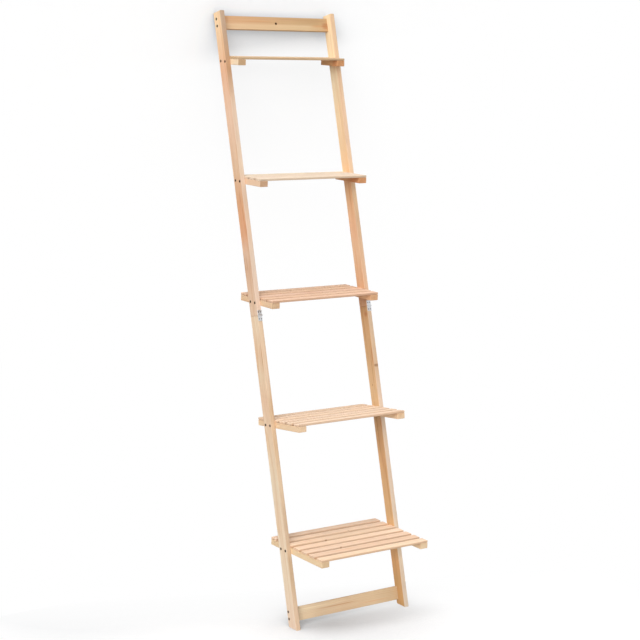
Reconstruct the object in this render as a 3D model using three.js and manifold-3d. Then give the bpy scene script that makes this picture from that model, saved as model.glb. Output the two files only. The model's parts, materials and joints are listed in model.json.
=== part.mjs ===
// A five-tier wooden ladder stand for plants. It leans back against a wall on two rails, each cut in
// two and joined by a small butt hinge on its front edge, so that the upper half folds forward.
// Millimetres and degrees. +X is the width, -Y the front, +Z up, and the feet stand on Z = 0.
import * as THREE from "three";
import { mergeVertices } from "three/addons/utils/BufferGeometryUtils.js";
import Module from "manifold-3d";

const wasm = await Module();
wasm.setup();

// Driving dimensions -----------------------------------------------------------------------------
const overallWidth = 415;
const overallHeight = 1760;
const leanAngle = 15.8; // of the rails, from upright

const railThickness = 14.5;
const railDepth = 38;

const crossbarHeight = 40;
const crossbarThickness = 12;
const bottomCrossbarRise = 13; // along the rail, from its back bottom corner
const topCrossbarDrop = 11; // along the rail, from its top end
const topCrossbarInset = 6; // from the rails' back faces; the bottom one is flush with them
const wallHoleDiameter = 5;

const cleatWidth = 26;
const cleatHeight = 17;
const slatWidth = 26.5;
const slatThickness = 6.5;

// The top of a shelf's slats is set where it crosses the middle of the rails: by its drop below the top
// of the stand in the upper half, and by its height above the floor in the lower one. Overhang is how far
// the slats stand out behind the rails there, and frontRise tips the shelf's front edge up.
const shelf1 = { drop: 133, overhang: 0, slatCount: 3, slatGap: 3, frontRise: 0 };
const shelf2 = { drop: 476.5, overhang: 0, slatCount: 4, slatGap: 5.5, frontRise: 0 };
const shelf3 = { drop: 823, overhang: 60.5, slatCount: 5, slatGap: 8.5, frontRise: 0 };
const shelf4 = { height: 587.5, overhang: 46.5, slatCount: 6, slatGap: 10, frontRise: 6.4 };
const shelf5 = { height: 236.5, overhang: 58.5, slatCount: 7, slatGap: 11.8, frontRise: 0 };

const foldDrop = 41.5; // along the rails, from the middle of the third shelf's cleats down to the cut

const woodScrew = { headDiameter: 7, headHeight: 2.2, shankDiameter: 3.5, length: 33 };
const crossbarScrewSpacing = 21;
const cleatScrewSpacing = 23;

const hingeWidth = 14;
const leafLength = 16; // from the pin's axis
const leafThickness = 1.2;
const knuckleDiameter = 4.4;
const pinDiameter = 2.2;
const hingeScrew = { headDiameter: 4.6, headHeight: 1.1, shankDiameter: 2.4, length: 13 };
const hingeScrewSpacing = 7.4; // across the leaf
const hingeScrewOffset = 10; // from the pin's axis

const edgeChamfer = 0.8;
const contactGap = 0.3; // between pieces that touch
const screwClearance = 0.12; // on the radius of a screw, in its hole
const pinClearance = 0.07; // on the radius of the pin, in its knuckles
const roundSides = 20;

// Derived dimensions -----------------------------------------------------------------------------
const lean = THREE.MathUtils.degToRad(leanAngle);
const railLength = (overallHeight - railDepth * Math.sin(lean)) / Math.cos(lean);
const railCentreX = (overallWidth - railThickness) / 2;
const railInnerX = overallWidth / 2 - railThickness;
const shelfHalfWidth = railInnerX - contactGap;
const hingeAxisRise = contactGap + knuckleDiameter / 2; // in front of the rail's front face
const pinHoleRadius = pinDiameter / 2 + pinClearance;

const upperShelves = [shelf1, shelf2, shelf3].map((shelf) => ({
  ...shelf,
  height: overallHeight - shelf.drop,
}));
const lowerShelves = [shelf4, shelf5];
const shelves = [...upperShelves, ...lowerShelves];
const shelfDepth = (shelf) => shelf.slatCount * slatWidth + (shelf.slatCount - 1) * shelf.slatGap;

// Y of a rail's back face and of its middle, at a height above the floor.
const railBackY = (height) => height * Math.tan(lean);
const railMiddleY = (height) => railBackY(height) - railDepth / 2 / Math.cos(lean);

const frontY = railBackY(shelf5.height) + shelf5.overhang - shelfDepth(shelf5);
const backY = railLength * Math.sin(lean);

// The middle of a shelf's cleats where they cross the rails, as [Y, Z] in the stand's upright frame.
function cleatCentre(shelf) {
  const height = shelf.height - slatThickness - contactGap - cleatHeight / 2;
  return new THREE.Vector2(railMiddleY(height), height);
}

// A point [Y, Z] of the upright frame in the leaning one, where Z runs up along the rails' back faces.
const leaningPoint = ({ x, y }) =>
  new THREE.Vector2(x * Math.cos(lean) - y * Math.sin(lean), x * Math.sin(lean) + y * Math.cos(lean));

// From the rails' back bottom corner up to the cut between their halves.
const foldDistance = leaningPoint(cleatCentre(upperShelves.at(-1))).y - foldDrop;

// Shapes -----------------------------------------------------------------------------------------
const woods = {
  rail: { color: 0xdcb98f, roughness: 0.62 },
  crossbar: { color: 0xd9b184, roughness: 0.62 },
  cleat: { color: 0xe0c096, roughness: 0.64 },
  slat: { color: 0xe8c9a4, roughness: 0.66 },
};
const metals = {
  hinge: { color: 0xa9abac, roughness: 0.34, metalness: 1 },
  screw: { color: 0x8d8a84, roughness: 0.4, metalness: 1 },
};

function piece(name, geometry, look) {
  const mesh = new THREE.Mesh(geometry, new THREE.MeshStandardMaterial({ metalness: 0, ...look }));
  mesh.name = name;
  return mesh;
}

function solidOf(geometry) {
  const bare = geometry.clone();
  bare.deleteAttribute("normal");
  bare.deleteAttribute("uv");
  const merged = mergeVertices(bare, 1e-5);
  return new wasm.Manifold(
    new wasm.Mesh({
      numProp: 3,
      vertProperties: new Float32Array(merged.attributes.position.array),
      triVerts: new Uint32Array(merged.index.array),
    }),
  );
}

function geometryOf(solid) {
  const mesh = solid.getMesh();
  const geometry = new THREE.BufferGeometry();
  geometry.setAttribute("position", new THREE.BufferAttribute(mesh.vertProperties, 3));
  geometry.setIndex(new THREE.BufferAttribute(mesh.triVerts, 1));
  geometry.computeVertexNormals();
  return geometry;
}

const join = (parts) => geometryOf(parts.map(solidOf).reduce((whole, part) => whole.add(part)));

const cut = (body, cutters) =>
  geometryOf(cutters.map(solidOf).reduce((whole, cutter) => whole.subtract(cutter), solidOf(body)));

// A board with eased edges: the outline lies in XY and the thickness runs along Z, from its middle.
function board(outline, thickness) {
  const geometry = new THREE.ExtrudeGeometry(new THREE.Shape(outline), {
    depth: thickness - 2 * edgeChamfer,
    bevelThickness: edgeChamfer,
    bevelSize: edgeChamfer,
    bevelOffset: -edgeChamfer,
    bevelSegments: 1,
  });
  return geometry.translate(0, 0, edgeChamfer - thickness / 2);
}

const rectangle = (width, height) => [
  new THREE.Vector2(-width / 2, -height / 2),
  new THREE.Vector2(width / 2, -height / 2),
  new THREE.Vector2(width / 2, height / 2),
  new THREE.Vector2(-width / 2, height / 2),
];

// A cylinder along X, from its middle.
const rodX = (radius, length) =>
  new THREE.CylinderGeometry(radius, radius, length, roundSides).rotateZ(Math.PI / 2);

// A countersunk screw along -Z with the top of its head at Z = 0, grown all over by a margin. A grown
// one is the hole for a screw: it also runs on above the head, to open the surface that it enters.
function screw({ headDiameter, headHeight, shankDiameter, length }, margin = 0) {
  const head = headDiameter / 2 + margin;
  const shank = shankDiameter / 2 + margin;
  const profile = [
    new THREE.Vector2(0, -length - margin),
    new THREE.Vector2(shank, shankDiameter - length - margin),
    new THREE.Vector2(shank, -headHeight),
    new THREE.Vector2(head, 0),
  ];
  if (margin > 0) profile.push(new THREE.Vector2(head, 5 * margin));
  profile.push(new THREE.Vector2(0, profile.at(-1).y));
  return new THREE.LatheGeometry(profile, roundSides).rotateX(Math.PI / 2);
}

const screwHole = (kind) => screw(kind, screwClearance);

// A screw, or its hole, that enters a side face of the stand and points at its middle.
const fromSide = (geometry, side) => geometry.rotateY((side * Math.PI) / 2);

// A rail half in the leaning frame, where Z runs up along the rail and Y = 0 is its back face.
function railHalf(side, bottom, top, holes) {
  const footDrop = bottom === 0 ? railDepth * Math.tan(lean) : 0; // the foot is cut level
  const outline = [
    new THREE.Vector2(0, bottom),
    new THREE.Vector2(0, top),
    new THREE.Vector2(-railDepth, top),
    new THREE.Vector2(-railDepth, bottom - footDrop),
  ];
  const axes = new THREE.Matrix4().makeBasis(
    new THREE.Vector3(0, 1, 0),
    new THREE.Vector3(0, 0, 1),
    new THREE.Vector3(1, 0, 0),
  );
  const rail = board(outline, railThickness).applyMatrix4(axes).translate(side * railCentreX, 0, 0);
  return cut(rail, holes);
}

// Screws through the rails -----------------------------------------------------------------------
// The two screws of a cleat, as [Y, Z] in the leaning frame.
function cleatScrewPoints(shelf) {
  const tip = THREE.MathUtils.degToRad(shelf.frontRise);
  const along = new THREE.Vector2(Math.cos(tip), -Math.sin(tip));
  return [-0.5, 0.5].map((place) =>
    leaningPoint(cleatCentre(shelf).addScaledVector(along, place * cleatScrewSpacing)),
  );
}

// The two screws of a crossbar's end, as [Y, Z] in the leaning frame.
const crossbarScrewPoints = (middle, inset) =>
  [-0.5, 0.5].map(
    (place) => new THREE.Vector2(-inset - crossbarThickness / 2, middle + place * crossbarScrewSpacing),
  );

const sideHoles = (side, points) =>
  points.map((point) =>
    fromSide(screwHole(woodScrew), side).translate((side * overallWidth) / 2, point.x, point.y),
  );

// Sub-parts --------------------------------------------------------------------------------------
function crossbar(name, middle, inset, wallHole) {
  const bar = board(rectangle(2 * shelfHalfWidth, crossbarHeight), crossbarThickness)
    .rotateX(Math.PI / 2)
    .translate(0, -inset - crossbarThickness / 2, middle);
  const holes = [-1, 1].flatMap((side) => sideHoles(side, crossbarScrewPoints(middle, inset)));
  if (wallHole) {
    const radius = wallHoleDiameter / 2;
    const through = new THREE.CylinderGeometry(radius, radius, 2 * crossbarThickness, roundSides);
    holes.push(through.translate(0, -inset - crossbarThickness / 2, middle));
  }
  return piece(name, cut(bar, holes), woods.crossbar);
}

// A shelf in its own frame: the origin is the cleats' centre where they cross the rails.
function shelfGroup(shelf, name) {
  const group = new THREE.Group();
  const centre = cleatCentre(shelf);
  const depth = shelfDepth(shelf);
  const back = railBackY(shelf.height) + shelf.overhang - centre.x;
  const front = back - depth;
  for (const [side, word] of [[-1, "left"], [1, "right"]]) {
    const bar = board(rectangle(cleatWidth, depth), cleatHeight).translate(
      side * (shelfHalfWidth - cleatWidth / 2),
      (front + back) / 2,
      0,
    );
    const holes = [-0.5, 0.5].map((place) =>
      fromSide(screwHole(woodScrew), side).translate(
        (side * overallWidth) / 2,
        place * cleatScrewSpacing,
        0,
      ),
    );
    group.add(piece(`${name}_cleat_${word}`, cut(bar, holes), woods.cleat));
  }
  for (let i = 0; i < shelf.slatCount; i++) {
    const slat = piece(
      `${name}_slat_${i + 1}`,
      board(rectangle(2 * shelfHalfWidth, slatWidth), slatThickness),
      woods.slat,
    );
    slat.position.y = front + slatWidth / 2 + i * (slatWidth + shelf.slatGap);
    slat.position.z = cleatHeight / 2 + contactGap + slatThickness / 2;
    group.add(slat);
  }
  group.position.set(0, centre.x, centre.y);
  group.rotation.x = -THREE.MathUtils.degToRad(shelf.frontRise);
  return group;
}

// The hinge's screws on one leaf, in the leaning frame; half is -1 for the lower leaf, 1 for the upper.
const hingeScrewPlaces = (side, half) =>
  [-0.5, 0.5].map(
    (place) =>
      new THREE.Vector3(
        side * railCentreX + place * hingeScrewSpacing,
        -railDepth - contactGap - leafThickness,
        foldDistance + half * hingeScrewOffset,
      ),
  );

const placedOnFront = (geometry, place) =>
  geometry.rotateX(Math.PI / 2).translate(place.x, place.y, place.z);

const hingeHoles = (side, half) =>
  hingeScrewPlaces(side, half).map((place) => placedOnFront(screwHole(hingeScrew), place));

// One leaf. The lower leaf has the middle knuckle and the upper leaf the two outer ones.
function hingeLeaf(side, half) {
  const knuckle = hingeWidth / 3 - contactGap;
  const outer = hingeWidth / 2 - knuckle / 2;
  const mine = half < 0 ? [0] : [-outer, outer];
  const others = half < 0 ? [-outer, outer] : [0];
  const plate = new THREE.BoxGeometry(hingeWidth, leafThickness, leafLength - contactGap / 2);
  plate.translate(
    0,
    hingeAxisRise - contactGap - leafThickness / 2,
    (half * (leafLength + contactGap / 2)) / 2,
  );
  const radius = knuckleDiameter / 2;
  const bodies = [plate, ...mine.map((x) => rodX(radius, knuckle).translate(x, 0, 0))];
  const reliefs = others.map((x) => rodX(radius + contactGap, knuckle + 2 * contactGap).translate(x, 0, 0));
  const leaf = cut(join(bodies), [...reliefs, rodX(pinHoleRadius, 2 * hingeWidth)]);
  leaf.translate(side * railCentreX, -railDepth - hingeAxisRise, foldDistance);
  return cut(leaf, hingeHoles(side, half));
}

function hingePieces(side, word, half) {
  const which = half < 0 ? "lower" : "upper";
  const pieces = [piece(`hinge_${word}_${which}_leaf`, hingeLeaf(side, half), metals.hinge)];
  hingeScrewPlaces(side, half).forEach((place, i) => {
    const geometry = placedOnFront(screw(hingeScrew), place);
    pieces.push(piece(`hinge_${word}_${which}_screw_${i + 1}`, geometry, metals.screw));
  });
  if (half < 0) {
    const pin = rodX(pinDiameter / 2, hingeWidth);
    pin.translate(side * railCentreX, -railDepth - hingeAxisRise, foldDistance);
    pieces.push(piece(`hinge_${word}_pin`, pin, metals.hinge));
  }
  return pieces;
}

// One half of the stand: its pieces along the rails lean, and its shelves don't.
function standHalf(half) {
  const lower = half < 0;
  const group = new THREE.Group();
  const leaning = new THREE.Group();
  leaning.rotation.x = -lean;
  group.add(leaning);
  const carried = lower ? lowerShelves : upperShelves;
  const barMiddle = lower
    ? bottomCrossbarRise + crossbarHeight / 2
    : railLength - topCrossbarDrop - crossbarHeight / 2;
  const inset = lower ? 0 : topCrossbarInset;
  const bottom = lower ? 0 : foldDistance + contactGap / 2;
  const top = lower ? foldDistance - contactGap / 2 : railLength;
  for (const [side, word] of [[-1, "left"], [1, "right"]]) {
    const holes = [
      ...sideHoles(side, crossbarScrewPoints(barMiddle, inset)),
      ...carried.flatMap((shelf) => sideHoles(side, cleatScrewPoints(shelf))),
      ...hingeHoles(side, half),
    ];
    const name = `rail_${lower ? "lower" : "upper"}_${word}`;
    leaning.add(piece(name, railHalf(side, bottom, top, holes), woods.rail));
    leaning.add(...hingePieces(side, word, half));
  }
  leaning.add(crossbar(lower ? "crossbar_bottom" : "crossbar_top", barMiddle, inset, !lower));
  for (const shelf of carried) group.add(shelfGroup(shelf, `shelf_${shelves.indexOf(shelf) + 1}`));
  return group;
}

const stand = new THREE.Group();
stand.add(standHalf(-1), standHalf(1));
stand.position.y = -(frontY + backY) / 2;

export default stand;
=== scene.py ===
"""Looks of the plant ladder stand: plain softwood boards with grain, knots and end grain,
zinc-plated hinges and countersunk screws, on a pale floor in front of a pale wall.
Lengths are in metres and angles in degrees, unless a comment says otherwise."""

import json
import math
import random
from collections import namedtuple

import bmesh
import bpy
from mathutils import Matrix, Vector


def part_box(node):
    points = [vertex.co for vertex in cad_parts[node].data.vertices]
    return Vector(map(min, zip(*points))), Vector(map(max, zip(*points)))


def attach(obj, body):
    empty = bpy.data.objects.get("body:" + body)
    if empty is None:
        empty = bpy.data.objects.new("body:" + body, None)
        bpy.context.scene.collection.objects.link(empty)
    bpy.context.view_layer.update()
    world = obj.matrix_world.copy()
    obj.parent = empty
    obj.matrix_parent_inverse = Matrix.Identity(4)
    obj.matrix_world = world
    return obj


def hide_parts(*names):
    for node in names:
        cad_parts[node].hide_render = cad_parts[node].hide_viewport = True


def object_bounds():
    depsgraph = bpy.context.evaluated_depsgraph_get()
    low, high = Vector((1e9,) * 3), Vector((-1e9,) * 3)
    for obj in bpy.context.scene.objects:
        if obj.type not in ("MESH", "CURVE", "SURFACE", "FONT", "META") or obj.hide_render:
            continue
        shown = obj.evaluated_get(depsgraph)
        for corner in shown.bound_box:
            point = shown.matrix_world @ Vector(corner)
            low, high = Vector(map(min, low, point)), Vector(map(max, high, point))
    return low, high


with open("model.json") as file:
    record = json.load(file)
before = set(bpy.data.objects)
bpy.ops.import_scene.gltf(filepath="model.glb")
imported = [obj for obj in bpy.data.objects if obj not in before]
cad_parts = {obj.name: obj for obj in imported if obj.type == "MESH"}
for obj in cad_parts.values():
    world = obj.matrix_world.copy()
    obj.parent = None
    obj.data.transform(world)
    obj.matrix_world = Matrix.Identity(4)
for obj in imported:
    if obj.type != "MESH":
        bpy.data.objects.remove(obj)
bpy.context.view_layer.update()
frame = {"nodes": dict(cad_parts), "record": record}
scene = bpy.context.scene

# The stand's own directions and places, from the frame ------------------------------------------
# Sizes as in the CAD model.
RAIL_DEPTH = 0.038
CLEAT_SCREW_SPACING = 0.023
CROSSBAR_SCREW_SPACING = 0.021
SHELF_COUNT = 5
UPPER_SHELVES = 3  # those on the upper frame
SIDES = (("left", -1), ("right", 1))
PAIR = (-0.5, 0.5)  # a pair of screws, as shares of the step from one to the other

mounts = {mount["name"]: mount for mount in frame["record"]["mounts"]}
ACROSS = Vector((1, 0, 0))
BACKWARD = Vector(mounts["wall_screw_hole"]["axis"]).normalized()  # square to the rails' faces
UP_RAIL = ACROSS.cross(BACKWARD)


def middle(node):
    low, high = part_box(node)
    return (low + high) / 2


def shelf_up(shelf):
    """Square to the top of a shelf's slats."""
    return Vector(mounts[f"shelf_{shelf}_top"]["axis"]).normalized()


def board_axes(node):
    """A board's length, width and thickness directions."""
    if node.startswith("rail"):
        return UP_RAIL, -BACKWARD, ACROSS
    if node.startswith("crossbar"):
        return ACROSS, UP_RAIL, -BACKWARD
    up = shelf_up(int(node.split("_")[1]))
    if "cleat" in node:
        return up.cross(ACROSS), ACROSS, up
    return ACROSS, up.cross(ACROSS), up


def board_matrix(node):
    """Turns a place on the stand into one in the board's own frame: length, width, thickness."""
    length, width, thickness = board_axes(node)
    if length.cross(width).dot(thickness) < 0:
        thickness = -thickness
    turn = Matrix((length, width, thickness))
    return turn.to_4x4() @ Matrix.Translation(-middle(node))


# Camera -----------------------------------------------------------------------------------------
CAMERA_PLACE = Vector((-2.98291, -4.09722, 1.78917))
CAMERA_YAW = 36.023  # from straight at the wall towards +X
CAMERA_PITCH = -10.36
CAMERA_ROLL = 2.104
CAMERA_LENS = 97.28  # millimetres
CAMERA_SENSOR = 36  # millimetres


def make_camera():
    data = bpy.data.cameras.new("camera")
    data.lens = CAMERA_LENS
    data.sensor_width = CAMERA_SENSOR
    camera = bpy.data.objects.new("camera", data)
    scene.collection.objects.link(camera)
    turn = (
        Matrix.Rotation(math.radians(-CAMERA_YAW), 4, "Z")
        @ Matrix.Rotation(math.radians(90 + CAMERA_PITCH), 4, "X")
        @ Matrix.Rotation(math.radians(CAMERA_ROLL), 4, "Z")
    )
    camera.matrix_world = Matrix.Translation(CAMERA_PLACE) @ turn
    scene.camera = camera


# Node helpers -----------------------------------------------------------------------------------
class Nodes:
    """Adds nodes to a tree, and links whatever is given as an input that isn't a plain value."""

    def __init__(self, tree):
        self.tree = tree

    def put(self, socket, value):
        if isinstance(value, bpy.types.NodeSocket):
            self.tree.links.new(value, socket)
        elif value is not None:
            socket.default_value = value

    def add(self, kind, *inputs, **settings):
        node = self.tree.nodes.new(kind)
        for key, value in settings.items():
            setattr(node, key, value)
        for socket, value in zip(node.inputs, inputs):
            self.put(socket, value)
        return node

    def math(self, operation, a, b=None, c=None):
        return self.add("ShaderNodeMath", a, b, c, operation=operation).outputs[0]

    def vector(self, operation, a, b=None):
        node = self.add("ShaderNodeVectorMath", a, b, operation=operation)
        return node.outputs["Value" if operation in ("LENGTH", "DOT_PRODUCT") else "Vector"]

    def scaled(self, vector, factors):
        return self.vector("MULTIPLY", vector, factors)

    def noise(self, place, rate, character):
        """Noise that changes at these rates per metre, with its detail and roughness."""
        detail, roughness = character
        node = self.add("ShaderNodeTexNoise", noise_dimensions="3D")
        for key, value in (
            ("Vector", self.scaled(place, rate)),
            ("Scale", 1.0),
            ("Detail", detail),
            ("Roughness", roughness),
        ):
            self.put(node.inputs[key], value)
        return node.outputs["Fac"]

    def swing(self, noise, reach):
        """Noise as a push either way, half a reach at the most."""
        return self.math("MULTIPLY", self.math("SUBTRACT", noise, 0.5), reach)

    def between(self, value, start, end, low=0.0, high=1.0):
        """From low to high while a value goes from start to end."""
        return self.add("ShaderNodeMapRange", value, start, end, low, high).outputs[0]

    def color_ramp(self, value, stops, smooth=False):
        """A ramp through (place, linear colour) stops."""
        node = self.add("ShaderNodeValToRGB", value)
        node.color_ramp.interpolation = "EASE" if smooth else "LINEAR"
        elements = node.color_ramp.elements
        while len(elements) < len(stops):
            elements.new(0.5)
        for element, (place, color) in zip(elements, stops):
            element.position = place
            element.color = color
        return node.outputs["Color"]

    def ramp(self, value, stops, smooth=False):
        """A grey ramp through (place, level) stops."""
        greys = [(place, (level, level, level, 1)) for place, level in stops]
        return self.color_ramp(value, greys, smooth)

    def grey(self, level):
        return self.add("ShaderNodeCombineColor", level, level, level).outputs[0]

    def mix(self, factor, a, b, blend="MIX"):
        node = self.add("ShaderNodeMix", data_type="RGBA", blend_type=blend, clamp_factor=True)
        factor_in, a_in, b_in = (node.inputs[index] for index in (0, 6, 7))  # those of colours
        for socket, value in ((factor_in, factor), (a_in, a), (b_in, b)):
            self.put(socket, value)
        return node.outputs[2]

    def tinted(self, color, tint):
        """One colour times another."""
        return self.mix(1.0, color, tint, "MULTIPLY")

    def bumped(self, height, depth):
        """The normal of a surface with this height on it, whose full depth is in metres."""
        bump = self.add("ShaderNodeBump")
        bump.inputs["Distance"].default_value = depth
        self.put(bump.inputs["Height"], height)
        return bump.outputs["Normal"]

    def principled(self, color, roughness, normal):
        shader = self.add("ShaderNodeBsdfPrincipled")
        for key, value in (("Base Color", color), ("Roughness", roughness), ("Normal", normal)):
            self.put(shader.inputs[key], value)
        return shader

    def surface(self, shader):
        self.add("ShaderNodeOutputMaterial", shader)


def linear(red, green, blue):
    """A colour written as it shows, from 0 to 255, in the linear values that a shader takes."""
    levels = [channel / 255 for channel in (red, green, blue)]
    return tuple(c / 12.92 if c <= 0.04045 else ((c + 0.055) / 1.055) ** 2.4 for c in levels) + (1,)


def new_material(name):
    material = bpy.data.materials.new(name)
    material.use_nodes = True
    material.node_tree.nodes.clear()
    return material, Nodes(material.node_tree)


# Softwood ---------------------------------------------------------------------------------------
# The parts of the wood as shares of a board's own tone: the wood between the rings, the dark late
# wood that ends each ring, the flush of broad streaks, sawn end grain, and knots.
EARLY_WOOD = (1.03, 1.045, 1.06, 1)
LATE_WOOD = (0.88, 0.74, 0.58, 1)
FLUSH = (0.93, 0.83, 0.75, 1)
END_GRAIN = (0.66, 0.55, 0.45, 1)
EDGE_GRAIN_GAP_SHADE = (0.80, 0.74, 0.68, 1)  # sawn slat edges, and painted shade in the gaps
KNOT_WOOD = (0.42, 0.26, 0.14, 1)
PAINTED_TOP_SHADE = (0.26, 0.17, 0.12, 1)  # painted shade on the cleats' tops, between the slats
HOLE_PAINTED_SHADE = (0.16, 0.11, 0.07, 1)  # painted shade in and round the top crossbar's hole
BRUISED_AND_SHADED = (0.36, 0.27, 0.22, 1)  # crushed fibres and painted shade round screw heads
BRUISED_AND_SHADED_SHARE = 0.75
# The radius of the drilled hole and of the screws' holes, and how far past it the painted shade,
# with crushed fibres round the screws, begins to fade and where it ends, in metres.
DRILLED_HOLE = (0.0025, 0.0006, 0.0020)
SCREW_HOLE = (0.0036, 0.0003, 0.0013)

# How often each part of the grain changes in a metre along, across and through a board.
WANDER_RATE = (2.2, 9.0, 9.0)
RIPPLE_RATE = (11.0, 60.0, 60.0)
BROAD_RATE = (1.5, 62.0, 62.0)
NARROW_RATE = (5.0, 330.0, 330.0)
FIBRE_RATE = (28.0, 1500.0, 1500.0)
CANAL_RATE = (75.0, 1000.0, 1000.0)
FRAY_RATE = (14.0, 300.0, 300.0)
# The detail and roughness of the noise itself.
SOFT_NOISE = (1.0, 0.5)
BROAD_NOISE = (3.0, 0.6)
FINE_NOISE = (2.0, 0.6)
# How far the trunk's wander and its ripple push the rings about, in metres.
WANDER_REACH = 0.020
RIPPLE_REACH = 0.0020
# How dark the wood is from one ring to the next, and how its streaks and canals come out of noise.
RING_STOPS = [(0.0, 0.0), (0.40, 0.06), (0.80, 0.75), (0.93, 1.0), (1.0, 0.0)]
BROAD_STOPS = [(0.38, 0.0), (0.66, 1.0)]
NARROW_STOPS = [(0.45, 0.0), (0.75, 1.0)]
CANAL_STOPS = [(0.0, 1.0), (0.15, 0.0)]
# How strong the weakest ring, both kinds of streak, the canals and the fibres are.
WEAKEST_RING = 0.3
BROAD_SHARE = 0.75
NARROW_SHARE = 0.35
CANAL_SHARE = 0.30
FIBRE_SHARE = 0.14
# Roughness, and what late wood and fibres add to it.
WOOD_ROUGHNESS = 0.62
LATE_ROUGHNESS = -0.10
FIBRE_ROUGHNESS = 0.10
WOOD_SPECULAR = 0.3
# The relief's full depth in metres, and how high each part of the grain stands in it.
WOOD_RELIEF = 0.00007
LATE_HEIGHT = 0.6
FIBRE_HEIGHT = 0.7
CANAL_HEIGHT = -0.5
KNOT_HEIGHT = 0.8

# What the node group takes and gives, as the name and kind of each socket.
SOFTWOOD_TAKES = {
    "Place": "Vector",
    "Pith": "Vector",
    "Tone": "Color",
    "Spacing": "Float",
    "Rings": "Float",
    "Streaks": "Float",
    "Swirl": "Float",
    "Knot": "Float",
    "End": "Float",
    "Edge": "Float",
}
SOFTWOOD_GIVES = {"Color": "Color", "Roughness": "Float", "Height": "Float"}


def make_softwood_group():
    """Grain of a sawn board in its own frame: year rings round a pith that runs along it, broad
    streaks, fibres and resin canals. Where boards are cut across, the rings show as arcs."""
    tree = bpy.data.node_groups.new("softwood", "ShaderNodeTree")
    for direction, sockets in (("INPUT", SOFTWOOD_TAKES), ("OUTPUT", SOFTWOOD_GIVES)):
        for name, kind in sockets.items():
            tree.interface.new_socket(name, in_out=direction, socket_type="NodeSocket" + kind)
    n = Nodes(tree)
    given = tree.nodes.new("NodeGroupInput").outputs
    place = given["Place"]

    # The trunk wanders, so the rings run out of a board's face in long pointed arches.
    wander = n.swing(n.noise(place, WANDER_RATE, SOFT_NOISE), WANDER_REACH)
    ripple = n.swing(n.noise(place, RIPPLE_RATE, SOFT_NOISE), RIPPLE_REACH)
    from_pith = n.scaled(n.vector("SUBTRACT", place, given["Pith"]), (0.0, 1.0, 1.0))
    radius = n.vector("LENGTH", from_pith)
    radius = n.math("ADD", n.math("ADD", radius, wander), n.math("ADD", ripple, given["Swirl"]))
    rings = n.math("DIVIDE", radius, given["Spacing"])
    late = n.ramp(n.math("FRACT", rings), RING_STOPS)
    vigour = n.add("ShaderNodeTexWhiteNoise", noise_dimensions="1D")
    n.put(vigour.inputs["W"], n.math("FLOOR", rings))
    vigour = n.math("MULTIPLY_ADD", vigour.outputs["Value"], 1 - WEAKEST_RING, WEAKEST_RING)
    late = n.math("MULTIPLY", n.math("MULTIPLY", late, vigour), given["Rings"])

    broad = n.ramp(n.noise(place, BROAD_RATE, BROAD_NOISE), BROAD_STOPS, smooth=True)
    narrow = n.ramp(n.noise(place, NARROW_RATE, FINE_NOISE), NARROW_STOPS, smooth=True)
    fibre = n.noise(place, FIBRE_RATE, FINE_NOISE)
    canals = n.add("ShaderNodeTexVoronoi", feature="F1", distance="EUCLIDEAN")
    n.put(canals.inputs["Vector"], n.scaled(place, CANAL_RATE))
    n.put(canals.inputs["Scale"], 1.0)
    canals = n.ramp(canals.outputs["Distance"], CANAL_STOPS)

    tone = given["Tone"]
    dark = n.tinted(tone, LATE_WOOD)
    streaks = n.math("MULTIPLY_ADD", narrow, NARROW_SHARE, n.math("MULTIPLY", broad, BROAD_SHARE))
    streaks = n.math("MULTIPLY", streaks, given["Streaks"])
    color = n.mix(streaks, n.tinted(tone, EARLY_WOOD), n.tinted(tone, FLUSH))
    color = n.mix(late, color, dark)
    color = n.mix(n.math("MULTIPLY", canals, CANAL_SHARE), color, dark)
    shade = n.math("MULTIPLY_ADD", fibre, FIBRE_SHARE, 1 - FIBRE_SHARE / 2)
    color = n.tinted(color, n.grey(shade))
    color = n.mix(given["End"], color, n.tinted(color, END_GRAIN))
    # Darker slat edges: their sawn grain, and painted shade in the gaps between slats.
    color = n.mix(given["Edge"], color, n.tinted(color, EDGE_GRAIN_GAP_SHADE))
    color = n.mix(given["Knot"], color, n.tinted(tone, KNOT_WOOD))

    roughness = n.math("MULTIPLY_ADD", late, LATE_ROUGHNESS, WOOD_ROUGHNESS)
    roughness = n.math("MULTIPLY_ADD", fibre, FIBRE_ROUGHNESS, roughness)
    height = n.math("MULTIPLY_ADD", late, LATE_HEIGHT, n.math("MULTIPLY", fibre, FIBRE_HEIGHT))
    height = n.math("MULTIPLY_ADD", canals, CANAL_HEIGHT, height)
    height = n.math("MULTIPLY_ADD", given["Knot"], KNOT_HEIGHT, height)
    made = tree.nodes.new("NodeGroupOutput")
    for name, value in (("Color", color), ("Roughness", roughness), ("Height", height)):
        n.put(made.inputs[name], value)
    return tree


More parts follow.
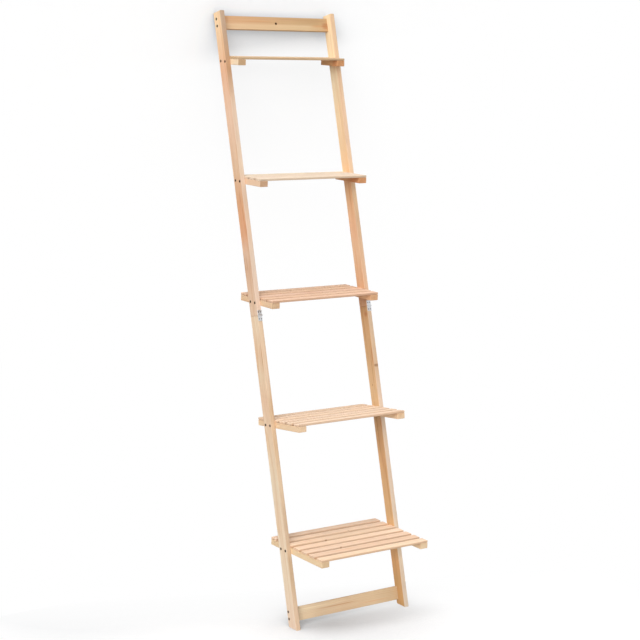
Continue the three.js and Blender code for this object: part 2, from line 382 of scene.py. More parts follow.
# Each rail's and crossbar's tone along it, from its foot or left end, as (share, colour). These
# and all other tones of the wood are colours as they show, from 0 to 255.
ALONG = {
    "rail_upper_left": [
        (0.0, (226, 197, 170)),
        (0.10, (222, 187, 158)),
        (0.16, (216, 178, 149)),
        (0.21, (224, 188, 160)),
        (0.27, (224, 170, 132)),
        (0.37, (221, 169, 129)),
        (0.48, (226, 190, 158)),
        (0.66, (238, 201, 173)),
        (0.80, (236, 187, 152)),
        (0.96, (252, 218, 176)),
    ],
    "rail_lower_left": [
        (0.0, (235, 211, 190)),
        (0.15, (233, 214, 188)),
        (0.34, (234, 211, 184)),
        (0.46, (230, 211, 184)),
        (0.59, (229, 202, 172)),
        (0.72, (228, 194, 164)),
        (0.80, (229, 203, 172)),
        (0.87, (228, 195, 163)),
        (0.95, (234, 210, 181)),
    ],
    "rail_upper_right": [
        (0.0, (216, 170, 132)),
        (0.10, (217, 174, 138)),
        (0.19, (232, 196, 162)),
        (0.28, (242, 194, 157)),
        (0.39, (248, 203, 158)),
        (0.56, (240, 208, 168)),
        (0.67, (247, 217, 177)),
        (0.78, (251, 230, 194)),
        (0.95, (252, 226, 186)),
    ],
    "rail_lower_right": [
        (0.0, (206, 164, 112)),
        (0.08, (212, 168, 116)),
        (0.15, (246, 192, 136)),
        (0.30, (209, 173, 128)),
        (0.47, (218, 174, 128)),
        (0.55, (208, 164, 119)),
        (0.68, (214, 180, 138)),
        (0.76, (214, 178, 137)),
        (0.84, (208, 168, 124)),
        (0.93, (213, 170, 125)),
        (1.0, (205, 160, 113)),
    ],
    # The top crossbar darkens towards its right end: painted shade next to the right rail.
    "crossbar_top": [(0.0, (220, 176, 136)), (0.5, (207, 169, 127)), (0.9, (194, 160, 118))],
    "crossbar_bottom": [
        (0.0, (240, 218, 184)),
        (0.25, (227, 200, 166)),
        (0.5, (227, 196, 160)),
        (0.75, (232, 202, 164)),
        (1.0, (214, 184, 146)),
    ],
}
# Where wood of another tone along one edge begins and is full, in metres across from the middle:
# on the rails' front faces, and below a crossbar's middle.
FRONT_EDGE = (0.0150, 0.0182)
WIDE_FRONT_EDGE = (0.0140, 0.0182)
LOWER_EDGE = (0.0010, -0.0060)
# That wood's own tones along the board.
EDGE_ALONG = {
    "rail_upper_left": (
        [
            (0.0, (226, 200, 180)),
            (0.20, (222, 200, 180)),
            (0.30, (228, 198, 172)),
            (0.38, (218, 190, 166)),
            (0.50, (228, 205, 182)),
            (0.68, (224, 196, 172)),
            (0.80, (192, 150, 114)),
            (0.95, (192, 163, 138)),
        ],
        FRONT_EDGE,
    ),
    "rail_lower_left": (
        [
            (0.0, (216, 188, 158)),
            (0.18, (206, 178, 149)),
            (0.34, (197, 170, 142)),
            (0.46, (216, 188, 156)),
            (0.58, (210, 177, 140)),
            (0.72, (213, 186, 157)),
            (0.80, (222, 195, 169)),
            (0.95, (224, 199, 170)),
        ],
        FRONT_EDGE,
    ),
    "rail_upper_right": (
        [
            (0.0, (226, 188, 158)),
            (0.28, (224, 191, 158)),
            (0.39, (242, 210, 172)),
            (0.56, (232, 202, 174)),
            (0.78, (236, 202, 167)),
            (0.95, (229, 196, 160)),
        ],
        FRONT_EDGE,
    ),
    "rail_lower_right": (
        [
            (0.0, (232, 220, 203)),
            (0.08, (234, 216, 196)),
            (0.15, (248, 230, 206)),
            (0.30, (219, 204, 187)),
            (0.47, (232, 212, 192)),
            (0.55, (240, 216, 190)),
            (0.70, (222, 198, 178)),
            (0.79, (210, 180, 150)),
            (1.0, (230, 206, 178)),
        ],
        WIDE_FRONT_EDGE,
    ),
    # Darker again at its right end: painted shade next to the right rail.
    "crossbar_top": (
        [(0.0, (224, 189, 150)), (0.8, (217, 188, 147)), (1.0, (200, 164, 122))],
        LOWER_EDGE,
    ),
}
# What patches of figure in the wood, and of painted shade, keep of a board's tone.
PINK = (0.99, 0.86, 0.78, 1)
BROWN = (0.78, 0.66, 0.54, 1)
TAN = (0.91, 0.88, 0.82, 1)
RUSSET = (0.88, 0.76, 0.66, 1)
RED = (0.80, 0.58, 0.48, 1)
PALE = (1.10, 1.14, 1.16, 1)
# The patches, as (board, middle along it and across it, half their length and width, kind). Along
# is to the right on crossbars and slats, up on rails and to the back on cleats. Across is to the
# front on rails, up on crossbars, to the back on slats and to the right on cleats.
FIGURE_AND_SHADE_PATCHES = [
    ("rail_upper_left", -0.155, -0.004, 0.065, 0.0040, PINK),
    ("rail_upper_left", -0.105, 0.002, 0.034, 0.0022, RED),
    ("rail_upper_left", -0.150, 0.008, 0.034, 0.0022, RED),
    ("rail_upper_left", -0.195, 0.014, 0.034, 0.0024, RED),
    ("rail_upper_left", -0.295, -0.004, 0.034, 0.0020, BROWN),
    ("rail_upper_left", -0.185, 0.008, 0.030, 0.0030, PINK),
    ("rail_upper_left", -0.300, -0.0165, 0.055, 0.0040, BROWN),
    ("rail_upper_left", -0.120, -0.0170, 0.035, 0.0025, BROWN),
    ("rail_upper_left", 0.020, 0.010, 0.060, 0.0030, PALE),
    ("rail_lower_left", 0.330, 0.013, 0.060, 0.0030, BROWN),
    ("rail_lower_left", 0.180, 0.017, 0.060, 0.0040, TAN),
    ("rail_lower_left", -0.300, 0.017, 0.090, 0.0040, TAN),
    ("rail_lower_left", 0.120, -0.012, 0.140, 0.0030, PALE),
    ("rail_upper_right", -0.300, -0.004, 0.060, 0.0050, PINK),
    ("rail_upper_right", -0.240, -0.0170, 0.050, 0.0030, BROWN),
    ("rail_upper_right", 0.130, 0.002, 0.090, 0.0040, PALE),
    ("rail_lower_right", 0.400, -0.010, 0.120, 0.0028, BROWN),
    ("rail_lower_right", 0.260, 0.004, 0.090, 0.0030, BROWN),
    ("rail_lower_right", 0.080, -0.006, 0.110, 0.0030, BROWN),
    ("rail_lower_right", -0.100, 0.008, 0.130, 0.0030, BROWN),
    ("rail_lower_right", -0.330, -0.002, 0.120, 0.0032, TAN),
    ("rail_lower_right", 0.302, 0.011, 0.045, 0.0040, RED),
    ("rail_lower_right", 0.090, 0.014, 0.035, 0.0034, RED),
    ("rail_lower_right", 0.432, 0.006, 0.012, 0.0120, RED),
    ("rail_lower_right", -0.027, 0.000, 0.050, 0.0044, RUSSET),
    ("rail_lower_right", -0.300, 0.017, 0.060, 0.0050, PALE),
    ("rail_upper_right", -0.110, 0.004, 0.060, 0.0044, RUSSET),
    ("rail_lower_right", -0.020, -0.014, 0.200, 0.0030, PALE),
    ("crossbar_top", -0.060, 0.006, 0.080, 0.0030, PINK),
    ("crossbar_top", 0.150, -0.004, 0.040, 0.0060, PINK),
    # Painted shade at the top crossbar's right end, next to the right rail.
    ("crossbar_top", 0.185, -0.004, 0.018, 0.0120, RED),
    ("crossbar_bottom", -0.080, 0.010, 0.120, 0.0040, PALE),
    ("crossbar_bottom", 0.090, -0.008, 0.080, 0.0030, PINK),
    ("crossbar_bottom", -0.040, 0.002, 0.090, 0.0020, RED),
    # Painted shade on the upper right cleats, under their slats.
    ("shelf_1_cleat_right", -0.030, 0.0, 0.022, 0.0400, RED),
    ("shelf_2_cleat_right", -0.034, 0.0, 0.044, 0.0400, RED),
    ("shelf_3_slat_3", 0.000, 0.002, 0.050, 0.0060, RED),
    ("shelf_3_slat_1", 0.150, 0.000, 0.060, 0.0080, PALE),
    ("shelf_3_slat_4", 0.060, 0.000, 0.060, 0.0060, TAN),
    ("shelf_4_slat_4", 0.120, 0.002, 0.080, 0.0060, PINK),
    ("shelf_5_slat_5", -0.120, 0.002, 0.060, 0.0060, PINK),
    ("shelf_5_slat_2", -0.090, 0.000, 0.070, 0.0050, PINK),
]
SLAT_TONES = {
    1: (222, 194, 158),
    2: (242, 225, 204),
    3: (236, 201, 174),
    4: (243, 217, 192),
    5: (246, 217, 191),
}
CLEAT_TONES = {
    1: (250, 226, 192),
    2: (238, 206, 178),
    3: (232, 199, 162),
    4: (231, 200, 164),
    5: (236, 208, 172),
}
# The right cleats of the upper shelves are darker and redder than the left ones: painted shade
# under their slats.
RIGHT_CLEAT_SHADED_TONES = {1: (226, 176, 126), 2: (226, 172, 124), 3: (230, 184, 142)}
TONE_SPREAD = 5  # how far a board's colour may be from its shelf's
YELLOW_SHARE = 0.5  # and how much of that it may be yellower or bluer
BRIGHTEST = 250  # the most red that is dealt, so that no board clips
# How dark the cleats' sawn ends and tops are, from the top shelf down, and other boards' ends.
CLEAT_ENDS = {"left": (1.0, 0.76, 0.12, 0.0, 0.10), "right": (0.35, 0.12, 0.24, 0.08, 0.0)}
# How strong the painted shade on the cleats' tops is, from the top shelf down.
CLEAT_TOP_SHADE_SHARES = (1.0, 1.0, 1.0, 0.9, 0.3)
OTHER_ENDS = 0.4
# Knots and dark streaks, as (board, middle along it and across it, half their length and width).
KNOTS = [
    ("shelf_5_slat_3", -0.070, -0.0125, 0.0040, 0.0024),
    ("shelf_5_slat_5", -0.069, -0.0130, 0.0052, 0.0024),
    ("shelf_5_slat_6", 0.045, -0.0100, 0.0040, 0.0020),
    ("crossbar_bottom", 0.010, 0.0120, 0.0340, 0.0010),
    ("crossbar_bottom", -0.060, 0.0040, 0.0200, 0.0008),
    ("crossbar_top", 0.165, 0.0050, 0.0250, 0.0009),
    ("rail_upper_left", -0.020, -0.006, 0.0300, 0.0009),
    ("rail_upper_left", -0.130, -0.006, 0.0500, 0.0009),
    ("rail_upper_left", -0.235, -0.001, 0.0200, 0.0011),
    ("rail_upper_left", 0.120, 0.004, 0.0400, 0.0007),
    ("rail_lower_left", 0.230, -0.008, 0.0350, 0.0007),
    ("rail_lower_left", -0.240, 0.004, 0.0450, 0.0007),
    ("rail_lower_right", 0.273, 0.0190, 0.0060, 0.0030),
    ("rail_lower_right", 0.214, -0.004, 0.0050, 0.0026),
    ("rail_lower_right", 0.180, -0.004, 0.0500, 0.0009),
    ("rail_lower_right", -0.180, 0.003, 0.0600, 0.0009),
    ("rail_upper_right", -0.330, -0.006, 0.0350, 0.0009),
    ("rail_upper_right", 0.050, 0.008, 0.0300, 0.0007),
]
# How a knot pushes the rings aside, as a share of its width, how fast that ends, how it narrows
# through the board, and how dark it is from its middle outwards.
KNOT_PUSH = 1.4
KNOT_PUSH_END = -0.25
KNOT_NARROWING = 0.15
KNOT_STOPS = [(0.0, 0.9), (0.35, 0.5), (0.65, 0.75), (0.85, 0.2), (1.0, 0.0)]
# How strong a patch of figure is from its middle outwards, and how much its edge is frayed.
FIGURE_STOPS = [(0.2, 0.85), (1.0, 0.0)]
FRAY = 1.6


def add_knots(n, node, place):
    """How much the board's knots push the rings aside, and how much a place is knot."""
    swirl, knot = 0.0, 0.0
    for board, along, across, length, width in KNOTS:
        if board != node:
            continue
        offset = n.vector("SUBTRACT", place, (along, across, 0.0))
        factors = (1.0 / length, 1.0 / width, KNOT_NARROWING / width)
        flat = n.vector("LENGTH", n.scaled(offset, factors))
        push = n.math("MULTIPLY", n.math("MULTIPLY", flat, flat), KNOT_PUSH_END)
        push = n.math("EXPONENT", push)
        swirl = n.math("MULTIPLY_ADD", push, KNOT_PUSH * width, swirl)
        knot = n.math("MAXIMUM", n.ramp(flat, KNOT_STOPS), knot)
    return swirl, knot


def dealt_tone(node, dealt):
    """A colour dealt round the shelf's own."""
    shelf = int(node.split("_")[1])
    tones = CLEAT_TONES if "cleat" in node else SLAT_TONES
    red, green, blue = tones[shelf]
    # The upper right cleats' tones hold painted shade under their slats.
    if node.endswith("right"):
        red, green, blue = RIGHT_CLEAT_SHADED_TONES.get(shelf, tones[shelf])
    lighter = dealt.uniform(-TONE_SPREAD, TONE_SPREAD)
    yellower = dealt.uniform(-TONE_SPREAD, TONE_SPREAD) * YELLOW_SHARE
    return linear(min(red + lighter, BRIGHTEST), green + lighter, blue + lighter - yellower)


def tone_ramp(n, share, stops):
    """A ramp through (share, colour) stops, the colours written as they show."""
    return n.color_ramp(share, [(at, linear(*color)) for at, color in stops])


def tone_along(n, node, place):
    """A colour that changes along the board, and towards one of its edges."""
    low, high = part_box(node)
    length = abs((high - low).dot(board_axes(node)[0]))
    split = n.add("ShaderNodeSeparateXYZ", place).outputs
    share = n.math("MULTIPLY_ADD", split["X"], 1 / length, 0.5)
    tone = tone_ramp(n, share, ALONG[node])
    if node in EDGE_ALONG:
        stops, (begins, full) = EDGE_ALONG[node]
        tone = n.mix(n.between(split["Y"], begins, full), tone, tone_ramp(n, share, stops))
    return tone


def add_figure_and_shade(n, node, place, tone):
    """The board's tone with patches of figure and painted shade, edges frayed along the fibres."""
    patches = [patch[1:] for patch in FIGURE_AND_SHADE_PATCHES if patch[0] == node]
    if not patches:
        return tone
    frayed = n.noise(place, FRAY_RATE, FINE_NOISE)
    frayed = n.math("MULTIPLY_ADD", frayed, FRAY, -FRAY / 2)
    for along, across, length, width, keep in patches:
        offset = n.vector("SUBTRACT", place, (along, across, 0.0))
        flat = n.vector("LENGTH", n.scaled(offset, (1.0 / length, 1.0 / width, 0.0)))
        share = n.ramp(n.math("ADD", flat, frayed), FIGURE_STOPS, smooth=True)
        tone = n.mix(share, tone, n.tinted(tone, keep))
    return tone


def darken_round(n, color, distance, hole, tint, strength):
    """The colour, dark within a hole's radius and fading past it."""
    radius, begins, ends = hole
    inside = n.between(distance, radius + begins, radius + ends, strength, 0.0)
    return n.mix(inside, color, n.tinted(color, tint))


def paint_hole_shade(n, place, color):
    """Painted shade on the drilled wall of the top crossbar's hole and round its rim."""
    distance = n.vector("LENGTH", n.scaled(place, (1.0, 1.0, 0.0)))
    return darken_round(n, color, distance, DRILLED_HOLE, HOLE_PAINTED_SHADE, 1.0)


def bruise_and_shade_round_screws(n, node, place, color):
    """Dark round the rail's screw heads: crushed fibres, and painted countersink shade."""
    half, side = node.split("_")[1:]
    nearest = None
    for _, body, sign, centre, step in screw_places():
        if not body.startswith(half) or (side == "left") != (sign < 0):
            continue
        for share in PAIR:
            point = board_matrix(node) @ (centre + step * share)
            offset = n.vector("SUBTRACT", place, tuple(point))
            away = n.vector("LENGTH", n.scaled(offset, (1.0, 1.0, 0.0)))
            nearest = away if nearest is None else n.math("MINIMUM", nearest, away)
    return darken_round(n, color, nearest, SCREW_HOLE, BRUISED_AND_SHADED, BRUISED_AND_SHADED_SHARE)


# How squarely a face has to look along, across or up from its board to count as an end, an edge or
# a top: from none of it to all of it.
END_FACING = (0.6, 0.95)
EDGE_FACING = (0.5, 0.75)
TOP_FACING = (0.85, 0.95)
# What is dealt to each board: how far along the endless grain it lies, where the pith runs beside
# and below it, the rings' spacing, all in metres, and how strong its rings and streaks are.
GRAIN_SHIFT = (-40, 40)
PITH_ASIDE = (-0.06, 0.06)
PITH_BELOW = (0.03, 0.09)
RING_SPACING = (0.0018, 0.0036)
RING_STRENGTH = (0.35, 0.75)
STREAK_STRENGTH = (0.5, 1.0)
BOARD_SEED = 11


def board_coords(n, node):
    """Where a place is in the board's own frame, and which way its surface faces there."""
    matrix = board_matrix(node)
    turn = matrix.to_euler()
    coords = n.add("ShaderNodeTexCoord").outputs
    place = n.add("ShaderNodeMapping", coords["Object"], vector_type="POINT")
    place.inputs["Location"].default_value = matrix.translation
    place.inputs["Rotation"].default_value = turn
    facing = n.add("ShaderNodeMapping", coords["Normal"], vector_type="VECTOR")
    facing.inputs["Rotation"].default_value = turn
    return place.outputs[0], n.add("ShaderNodeSeparateXYZ", facing.outputs[0]).outputs


def facing_share(n, amount, limits, most=1.0):
    """How much a face counts as one that looks a way, by how squarely it does."""
    none, full = limits
    return n.ramp(amount, [(none, 0.0), (full, most)])


def wood_material(node, group, dealt):
    material, n = new_material("wood_" + node)
    place, facing = board_coords(n, node)
    end_share = OTHER_ENDS
    if "cleat" in node:
        _, shelf, _, side = node.split("_")
        end_share = CLEAT_ENDS[side][int(shelf) - 1]
    end = facing_share(n, n.math("ABSOLUTE", facing["X"]), END_FACING)
    end = n.math("MULTIPLY", end, end_share)
    edge = 0.0
    # The slats' edges take their sawn grain and painted shade of the gaps between them.
    if "slat" in node:
        edge = facing_share(n, n.math("ABSOLUTE", facing["Y"]), EDGE_FACING)
    swirl, knot = add_knots(n, node, place)
    pith_side = dealt.choice((-1, 1))
    wood = n.add("ShaderNodeGroup", node_tree=group)
    tone = tone_along(n, node, place) if node in ALONG else dealt_tone(node, dealt)
    for name, value in (
        ("Place", n.vector("ADD", place, (dealt.uniform(*GRAIN_SHIFT), 0, 0))),
        ("Pith", (0, dealt.uniform(*PITH_ASIDE), pith_side * dealt.uniform(*PITH_BELOW))),
        ("Tone", add_figure_and_shade(n, node, place, tone)),
        ("Spacing", dealt.uniform(*RING_SPACING)),
        ("Rings", dealt.uniform(*RING_STRENGTH)),
        ("Streaks", dealt.uniform(*STREAK_STRENGTH)),
        ("Swirl", swirl),
        ("Knot", knot),
        ("End", end),
        ("Edge", edge),
    ):
        n.put(wood.inputs[name], value)
    color = wood.outputs["Color"]
    # Painted shade in and round the top crossbar's drilled hole.
    if node == "crossbar_top":
        color = paint_hole_shade(n, place, color)
    # Crushed fibres and painted countersink shade round the rails' screws.
    if node.startswith("rail"):
        color = bruise_and_shade_round_screws(n, node, place, color)
    # Painted shade on the cleats' tops, where the slats above shade them.
    if "cleat" in node:
        top_shade = CLEAT_TOP_SHADE_SHARES[int(shelf) - 1]
        top = facing_share(n, n.math("MULTIPLY", facing["Z"], -1.0), TOP_FACING, top_shade)
        color = n.mix(top, color, n.tinted(color, PAINTED_TOP_SHADE))
    normal = n.bumped(wood.outputs["Height"], WOOD_RELIEF)
    shader = n.principled(color, wood.outputs["Roughness"], normal)
    shader.inputs["Specular IOR Level"].default_value = WOOD_SPECULAR
    n.surface(shader.outputs["BSDF"])
    return material


def dress(node, material):
    mesh = frame["nodes"][node].data
    mesh.materials.clear()
    mesh.materials.append(material)


def dress_boards():
    group = make_softwood_group()
    dealt = random.Random(BOARD_SEED)
    for node in sorted(frame["nodes"]):
        if node.startswith(("rail", "crossbar", "shelf")):
            dress(node, wood_material(node, group, dealt))


# Metal ------------------------------------------------------------------------------------------
# Each metal's colour as it shows, its roughness, and how much its brightness is mottled.
METALS = {
    "hinge_zinc": ((212, 213, 215), 0.34, 0.45),
    "hinge_screw_steel": ((146, 144, 141), 0.4, 0.5),
    "wood_screw_steel": ((32, 28, 26), 0.5, 0.5),
}
# How often the mottle and the scratches change in a metre, and the character of their noise.
MOTTLE_RATE = (700.0, 700.0, 700.0)
SCRATCH_RATE = (3000.0, 3000.0, 260.0)
MOTTLE_NOISE = (3.0, 0.5)
SCRATCH_NOISE = (2.0, 0.5)
SCRATCH_ROUGHNESS = 0.2
METAL_RELIEF = 0.00002  # metres


def metal_material(name):
    color, roughness, mottle = METALS[name]
    material, n = new_material(name)
    place = n.add("ShaderNodeTexCoord").outputs["Object"]
    cloud = n.swing(n.noise(place, MOTTLE_RATE, MOTTLE_NOISE), mottle)
    shade = n.math("ADD", cloud, 1.0)
    scratch = n.noise(place, SCRATCH_RATE, SCRATCH_NOISE)
    smoothest = roughness - SCRATCH_ROUGHNESS / 2
    shader = n.principled(
        n.tinted(linear(*color), n.grey(shade)),
        n.math("MULTIPLY_ADD", scratch, SCRATCH_ROUGHNESS, smoothest),
        n.bumped(scratch, METAL_RELIEF),
    )
    shader.inputs["Metallic"].default_value = 1.0
    n.surface(shader.outputs["BSDF"])
    return material


def dress_hinges():
    plate = metal_material("hinge_zinc")
    for node in frame["nodes"]:
        if node.startswith("hinge"):
            dress(node, plate)


# Screws -----------------------------------------------------------------------------------------
Screw = namedtuple("Screw", "head head_height shank length pitch thread_start")
WOOD_SCREW = Screw(
    head=0.0035, head_height=0.0022, shank=0.00165, length=0.030, pitch=0.0016, thread_start=0.010
)
HINGE_SCREW = Screw(
    head=0.0023, head_height=0.0011, shank=0.00115, length=0.0128, pitch=0.0010, thread_start=0.003
)
TURN_STEPS = 32
HEAD_TOP = 0.92  # the top's share of the head's radius
HEAD_EDGE = (-0.0002, -0.0004)  # where the head's upright edge begins and ends
THREAD_ROOT = 0.75  # its share of the shank's radius
POINT_LENGTH = 0.002
POINT_RADIUS = 0.0001
# The driver's tip: half its arm's length and breadth as shares of the head's radius, how much of
# them is left at its foot, how deep that is in the head, and how far it stands above it.
RECESS_ARM = 0.55
RECESS_WEB = 0.12
ARM_TAPER = 0.45
WEB_TAPER = 0.8
RECESS_DEPTH = 0.7
RECESS_ABOVE = 0.0004


def finished(mesh, name):
    bmesh.ops.recalc_face_normals(mesh, faces=mesh.faces)
    data = bpy.data.meshes.new(name)
    mesh.to_mesh(data)
    mesh.free()
    return data


def screw_mesh(size):
    """A countersunk screw along -Z, with the top of its head at Z = 0."""
    mesh = bmesh.new()
    profile = [(size.head * HEAD_TOP, 0.0)]
    profile += [(size.head, height) for height in HEAD_EDGE]
    profile.append((size.shank, -size.head_height))
    turns = int((size.length - size.thread_start - POINT_LENGTH) / size.pitch)
    for turn in range(turns):
        start = -size.thread_start - turn * size.pitch
        profile.append((size.shank * THREAD_ROOT, start))
        profile.append((size.shank, start - size.pitch / 2))
    profile.append((POINT_RADIUS, -size.length))
    angles = [2 * math.pi * step / TURN_STEPS for step in range(TURN_STEPS)]
    rings = []
    for radius, height in profile:
        ring = [(radius * math.cos(angle), radius * math.sin(angle), height) for angle in angles]
        rings.append([mesh.verts.new(point) for point in ring])
    for upper, lower in zip(rings, rings[1:]):
        for step in range(TURN_STEPS):
            after = (step + 1) % TURN_STEPS
            mesh.faces.new((upper[step], lower[step], lower[after], upper[after]))
    mesh.faces.new(rings[0][::-1])
    mesh.faces.new(rings[-1])
    return finished(mesh, "screw_blank")


def recess_mesh(head, depth):
    """The cross-shaped driver's tip, which tapers downwards from above the head."""
    mesh = bmesh.new()
    arm, web = head * RECESS_ARM, head * RECESS_WEB
    corners = [(arm, web), (-arm, web), (-arm, -web), (arm, -web)]
    for turn in (0, math.pi / 2):
        spin = Matrix.Rotation(turn, 3, "Z")
        high = [spin @ Vector((x, y, RECESS_ABOVE)) for x, y in corners]
        low = [spin @ Vector((x * ARM_TAPER, y * WEB_TAPER, -depth)) for x, y in corners]
        high = [mesh.verts.new(point) for point in high]
        low = [mesh.verts.new(point) for point in low]
        mesh.faces.new(high)
        mesh.faces.new(low[::-1])
        for i in range(4):
            after = (i + 1) % 4
            mesh.faces.new((high[i], high[after], low[after], low[i]))
    return finished(mesh, "recess")


def cut_screw(name, size, material):
    """The finished screw's mesh: the blank less the recess."""
    blank = bpy.data.objects.new("screw_blank", screw_mesh(size))
    tip = recess_mesh(size.head, size.head_height * RECESS_DEPTH)
    recess = bpy.data.objects.new("recess", tip)
    for piece in (blank, recess):
        scene.collection.objects.link(piece)
    cut = blank.modifiers.new("recess", "BOOLEAN")
    cut.object = recess
    cut.operation = "DIFFERENCE"
    cut.solver = "EXACT"
    cut.use_self = True
    graph = bpy.context.evaluated_depsgraph_get()
    data = bpy.data.meshes.new_from_object(blank.evaluated_get(graph))
    data.name = name
    data.materials.clear()
    data.materials.append(material)
    for piece in (blank, recess):
        bpy.data.objects.remove(piece)
    return data


def add_screw(name, data, body, place, aim, spin):
    """A screw with the middle of its head at a place, its point along -Z of the given turn."""
    screw = bpy.data.objects.new(name, data)
    scene.collection.objects.link(screw)
    screw.matrix_world = Matrix.Translation(place) @ aim @ Matrix.Rotation(spin, 4, "Z")
    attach(screw, body)
    return screw


def crossing(shelf, side):
    """Where the middle of a cleat crosses the middle of its rail, and the cleat's direction."""
    cleat = middle(f"shelf_{shelf}_cleat_{side}")
    along = shelf_up(shelf).cross(ACROSS)
    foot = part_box("rail_lower_left")[0]
    rail_foot = Vector((cleat.x, foot.y + RAIL_DEPTH / 2 / BACKWARD.y, 0))
    gap = rail_foot - cleat
    reach = gap.dot(BACKWARD) / along.dot(BACKWARD)
    return cleat + along * reach, along


def screw_places():
    """Each pair of wood screws: its name, body, side, middle, and the step between the two."""
    found = []
    for side, sign in SIDES:
        for shelf in range(1, SHELF_COUNT + 1):
            centre, along = crossing(shelf, side)
            body = "upper_frame" if shelf <= UPPER_SHELVES else "lower_frame"
            step = along * CLEAT_SCREW_SPACING
            found.append((f"cleat_screw_{shelf}_{side}", body, sign, centre, step))
        for end, body in (("top", "upper_frame"), ("bottom", "lower_frame")):
            centre = middle(f"crossbar_{end}")
            step = UP_RAIL * CROSSBAR_SCREW_SPACING
            found.append((f"crossbar_screw_{end}_{side}", body, sign, centre, step))
    return found


HEAD_SINK = 0.0002  # of the wood screws, below the rail's face
WOOD_SCREW_SEED = 3


def make_wood_screws():
    data = cut_screw("wood_screw", WOOD_SCREW, metal_material("wood_screw_steel"))
    half_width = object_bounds()[1].x
    dealt = random.Random(WOOD_SCREW_SEED)
    for name, body, sign, centre, step in screw_places():
        for count, share in enumerate(PAIR, start=1):
            place = centre + step * share
            place.x = sign * (half_width - HEAD_SINK)
            aim = Matrix.Rotation(sign * math.pi / 2, 4, "Y")
            add_screw(f"{name}_{count}", data, body, place, aim, dealt.uniform(0, math.pi))


HINGE_SCREW_ACROSS = 0.0074  # between the two screws of a leaf
HINGE_SCREW_ALONG = 0.010  # from the pin's axis
HINGE_FACE_BACK = 0.001  # from the pin's axis to the leaf's face, towards the wall
HINGE_SCREW_SEED = 5


def make_hinge_screws():
    data = cut_screw("hinge_screw", HINGE_SCREW, metal_material("hinge_screw_steel"))
    aim = Matrix((ACROSS, UP_RAIL, -BACKWARD)).transposed().to_4x4()
    dealt = random.Random(HINGE_SCREW_SEED)
    for side, _ in SIDES:
        axis = middle(f"hinge_{side}_pin") + BACKWARD * HINGE_FACE_BACK
        for half, sign in (("lower", -1), ("upper", 1)):
            for count, share in enumerate(PAIR, start=1):
                node = f"hinge_{side}_{half}_screw_{count}"
                place = axis + UP_RAIL * (sign * HINGE_SCREW_ALONG)
                place += ACROSS * (share * HINGE_SCREW_ACROSS)
                spin = dealt.uniform(0, math.pi)
                screw = add_screw(f"{node}_driven", data, f"{half}_frame", place, aim, spin)
                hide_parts(node)


# Stage and light --------------------------------------------------------------------------------
STAGE_REACH = 9.0  # how far the floor goes each way, and the wall to either side
WALL_HEIGHT = 7.0
WALL_GAP = 0.0006  # between the stand and the wall
BOUNCE = 0.38  # how much light the floor and the wall throw back at the stand
# How the backdrop shows where the camera or metal sees it:
# - paint and lift bring it to white where nothing shades it;
# - wash fades its shade out towards plain white, as (metres, share) along a way;
# - nearness is how far off the stand still darkens it with painted shade, in metres, and how
#   strongly in red, green and blue, which takes back the warm light that the wood throws on it.
FLOOR_LOOK = {
    "way": (0.35, 1.0, 0.0),
    "paint": 0.98,
    "lift": 0.0,
    "wash": [(-0.27, 0.05), (-0.19, 0.42), (-0.13, 0.72), (-0.05, 0.88), (0.10, 1.0)],
    "nearness": (0.45, (0.72, 0.68, 0.63)),
}
WALL_LOOK = {
    "way": (-0.12, 0.0, 1.0),
    "paint": 1.0,
    "lift": 0.11,
    "wash": [
        (0.85, 1.0),
        (1.20, 0.95),
        (1.50, 0.84),
        (1.56, 0.86),
        (1.62, 0.82),
        (1.67, 0.28),
        (1.73, 0.30),
        (1.79, 0.0),
    ],
    "nearness": (0.30, (0.89, 0.74, 0.58)),
}
WASHED_ASIDE = (0.50, 0.95)  # metres to either side, between which all shade fades out
NEARNESS_SAMPLES = 16
WHITE = (1, 1, 1, 1)


def seen_directly(n):
    """1 for the rays that show the backdrop itself: to the camera, in metal and through glass."""
    path = n.add("ShaderNodeLightPath").outputs
    seen = n.math("MAXIMUM", path["Is Camera Ray"], path["Is Glossy Ray"])
    return n.math("MAXIMUM", seen, path["Is Transmission Ray"])


def painted(n, look):
    """The backdrop's paint in the stage's light, with painted shade near the stand."""
    reach, powers = look["nearness"]
    near = n.add("ShaderNodeAmbientOcclusion", samples=NEARNESS_SAMPLES, only_local=False)
    near.inputs["Distance"].default_value = reach
    channels = [n.math("POWER", near.outputs["AO"], power) for power in powers]
    channels = [n.math("MULTIPLY", channel, look["paint"]) for channel in channels]
    paint = n.add("ShaderNodeCombineColor", *channels).outputs[0]
    lit = n.add("ShaderNodeBsdfDiffuse", paint).outputs[0]
    lift = n.add("ShaderNodeEmission", WHITE, look["lift"]).outputs[0]
    return n.add("ShaderNodeAddShader", lit, lift).outputs[0]


def washed(n, look):
    """How much of its shade a place of the backdrop has lost."""
    place = n.add("ShaderNodeNewGeometry").outputs["Position"]
    aside = n.math("ABSOLUTE", n.add("ShaderNodeSeparateXYZ", place).outputs["X"])
    aside = n.between(aside, *WASHED_ASIDE)
    along = n.vector("DOT_PRODUCT", place, look["way"])
    start, end = look["wash"][0][0], look["wash"][-1][0]
    along = n.between(along, start, end)
    wash = n.ramp(along, [((at - start) / (end - start), share) for at, share in look["wash"]])
    return n.math("MAXIMUM", wash, aside)


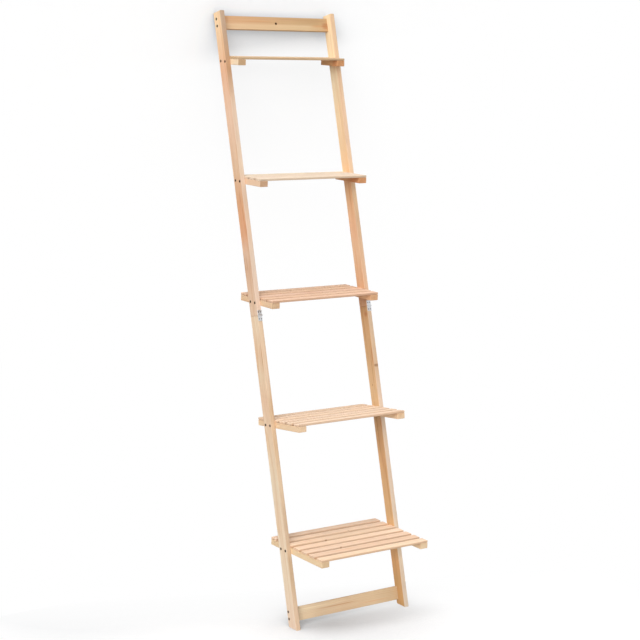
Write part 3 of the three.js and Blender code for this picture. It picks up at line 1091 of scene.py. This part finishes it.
def stage_material(name, look, see_through_back):
    """White where light reaches it, and grey in the stand's shadow and painted shade."""
    material, n = new_material(name)
    plain = n.add("ShaderNodeEmission", WHITE, 1.0).outputs[0]
    shown = n.add("ShaderNodeMixShader", washed(n, look), painted(n, look), plain).outputs[0]
    bounce = n.add("ShaderNodeBsdfDiffuse", (BOUNCE, BOUNCE, BOUNCE, 1)).outputs[0]
    shader = n.add("ShaderNodeMixShader", seen_directly(n), bounce, shown).outputs[0]
    if see_through_back:
        behind = n.add("ShaderNodeNewGeometry").outputs["Backfacing"]
        clear = n.add("ShaderNodeBsdfTransparent").outputs[0]
        shader = n.add("ShaderNodeMixShader", behind, shader, clear).outputs[0]
    n.surface(shader)
    return material


def plane(name, corners, material):
    data = bpy.data.meshes.new(name)
    data.from_pydata(corners, [], [(0, 1, 2, 3)])
    data.materials.append(material)
    piece = bpy.data.objects.new(name, data)
    scene.collection.objects.link(piece)


def make_stage():
    reach = STAGE_REACH
    wall_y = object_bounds()[1].y + WALL_GAP
    floor = [(-reach, -reach, 0), (reach, -reach, 0), (reach, reach, 0), (-reach, reach, 0)]
    wall = [(-reach, wall_y, 0), (reach, wall_y, 0)]
    wall += [(reach, wall_y, WALL_HEIGHT), (-reach, wall_y, WALL_HEIGHT)]
    plane("floor", floor, stage_material("floor_white", FLOOR_LOOK, False))
    plane("wall", wall, stage_material("wall_white", WALL_LOOK, True))


SKY_LOW = 0.34  # the soft light from all round, at the horizon
SKY_RISE = 0.16  # and how much more of it there is straight above
# Far lamps: the way to each, the level at which it shows a white face square to it, and how wide
# it is in degrees.
LAMPS = {
    "top_lamp": ((-0.25, -0.15, 0.95), 0.48, 30),
    "left_lamp": ((-0.72, -0.60, 0.38), 0.68, 42),
}


def make_sky():
    world = bpy.data.worlds.new("world")
    scene.world = world
    world.use_nodes = True
    world.node_tree.nodes.clear()
    n = Nodes(world.node_tree)
    way = n.add("ShaderNodeTexCoord").outputs["Generated"]
    rise = n.add("ShaderNodeSeparateXYZ", way).outputs["Z"]
    sky = n.math("MULTIPLY_ADD", n.math("MAXIMUM", rise, 0.0), SKY_RISE, SKY_LOW)
    strength = n.math("MAXIMUM", sky, seen_directly(n))
    shade = n.add("ShaderNodeBackground", WHITE, strength).outputs[0]
    n.add("ShaderNodeOutputWorld", shade)


def make_lamps():
    for name, (way, level, spread) in LAMPS.items():
        data = bpy.data.lights.new(name, "SUN")
        data.energy = level * math.pi
        data.angle = math.radians(spread)
        lamp = bpy.data.objects.new(name, data)
        scene.collection.objects.link(lamp)
        lamp.rotation_euler = Vector(way).to_track_quat("Z", "Y").to_euler()


make_camera()
dress_boards()
dress_hinges()
make_wood_screws()
make_hinge_screws()
make_stage()
make_sky()
make_lamps()

scene.view_settings.view_transform = "Standard"
